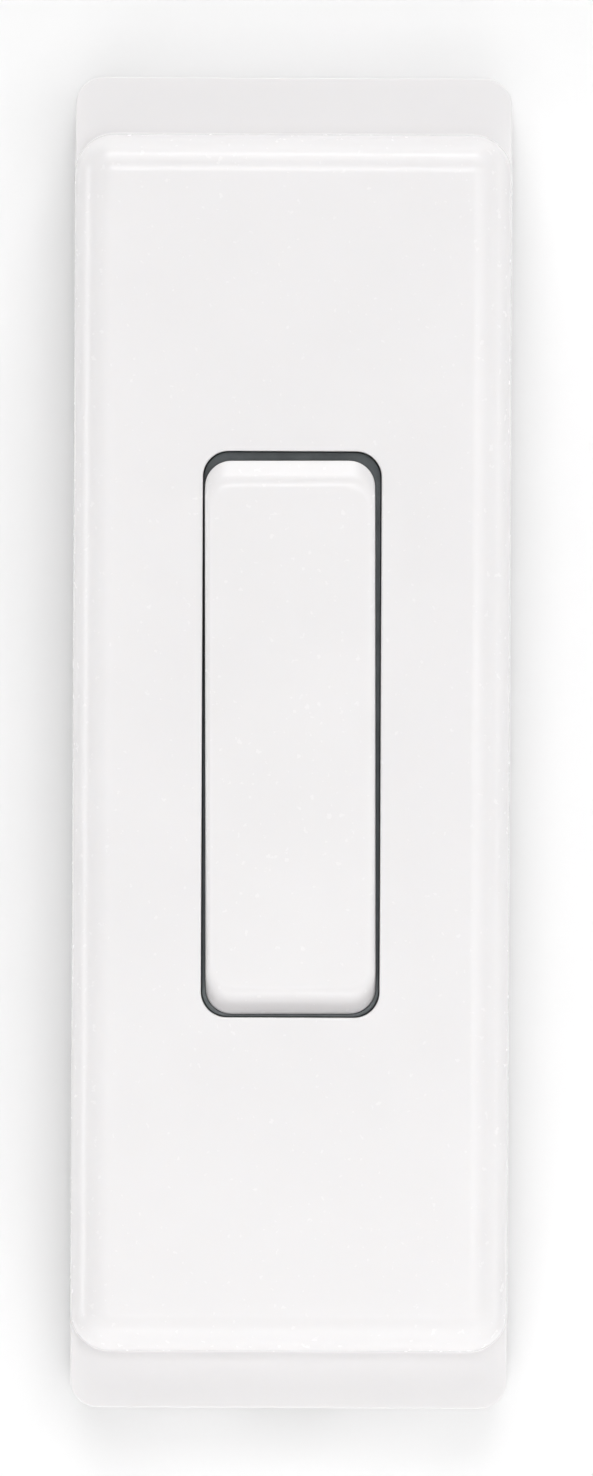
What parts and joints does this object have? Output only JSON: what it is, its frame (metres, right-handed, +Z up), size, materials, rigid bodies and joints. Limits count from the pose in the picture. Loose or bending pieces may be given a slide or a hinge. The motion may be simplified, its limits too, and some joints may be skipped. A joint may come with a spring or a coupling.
{
  "type": "wireless bell push",
  "caption": "Long, narrow wall bell push: a white housing with a low step at each end, one hinged key, and a coin-cell radio transmitter on a clip-on wall plate.",
  "frame": {"origin": "centre of the wall plate's back face, which lies on the wall", "axes": "+Z up the wall along the housing's length, -Y out of the wall towards the visitor, +X to the visitor's right"},
  "size_m": [0.0282, 0.0167, 0.086],
  "materials": {
    "housing_gloss": "gloss moulded white",
    "key_gloss": "gloss moulded white",
    "plate_moulding": "fine spark-eroded texture",
    "gap_silicone": "matt dark slate silicone",
    "seal_foam": "closed-cell foam",
    "board_laminate": "green solder mask over glass laminate",
    "screw_steel": "zinc plated",
    "switch_plastic": "moulded black",
    "stamped_steel": "nickel-plated spring steel",
    "tinned_leads": "bright tin",
    "plunger_plastic": "moulded dark grey",
    "holder_plastic": "moulded black",
    "cell_steel": "turned and plated",
    "cell_gasket": "grey nylon",
    "chip_epoxy": "fine-grained black epoxy",
    "can_plate": "nickel plated",
    "capacitor_can_skin": "drawn",
    "ferrite": "sintered",
    "enamelled_copper": "lacquered winding",
    "track_copper": "bare copper track",
    "ceramic_body": "fired ceramic",
    "header_plastic": "moulded black",
    "gold_plate": "gold plated",
    "jumper_plastic": "moulded blue",
    "solder": "bright solder"
  },
  "bodies": {
    "wall_plate": {"back_plate": "plate_moulding", "snap_tongues": "plate_moulding", "rim_seal": "seal_foam"},
    "housing": {"front_cover": "housing_gloss", "circuit_board": "board_laminate", "board_screws": "screw_steel", "switch_body": "switch_plastic", "switch_frame": "stamped_steel", "switch_pins": "tinned_leads", "switch_dome": "stamped_steel", "battery_holder": "holder_plastic", "battery_contact_positive": "stamped_steel", "battery_contact_negative": "stamped_steel", "battery_can": "cell_steel", "battery_cap": "cell_steel", "battery_seal": "cell_gasket", "encoder_chip": "chip_epoxy", "chip_leads": "tinned_leads", "rf_transistor": "chip_epoxy", "transistor_leads": "tinned_leads", "saw_resonator": "can_plate", "coil_core": "ferrite", "coil_winding": "enamelled_copper", "antenna_loop": "track_copper", "smoothing_capacitor": "capacitor_can_skin", "capacitor_base": "chip_epoxy", "ceramic_capacitors": "ceramic_body", "resistors": "chip_epoxy", "component_terminals": "tinned_leads", "code_header": "header_plastic", "header_pins": "gold_plate", "code_jumper": "jumper_plastic", "solder_joints": "solder"},
    "key": {"button_key": "key_gloss", "key_gasket": "gap_silicone"},
    "plunger": {"switch_plunger": "plunger_plastic"}
  },
  "joints": [
    {"name": "housing_release", "type": "slide", "parent": "wall_plate", "child": "housing", "axis": [0, -1, 0], "range_m": [0, 0.025], "deforming": ["snap_tongues"]},
    {"name": "key_press", "type": "hinge", "parent": "housing", "child": "key", "pos_m": [0, -0.0132, -0.0194], "axis": [-1, 0, 0], "range_deg": [0, 1], "stiffness_Nm_per_rad": 0.6, "springref_deg": -2.86},
    {"name": "switch_travel", "type": "slide", "parent": "housing", "child": "plunger", "axis": [0, 1, 0], "range_m": [0, 0.0004]}
  ],
  "couplings": [
    {"joint": "switch_travel", "follows": "key_press", "m_per_rad": 0.02}
  ]
}
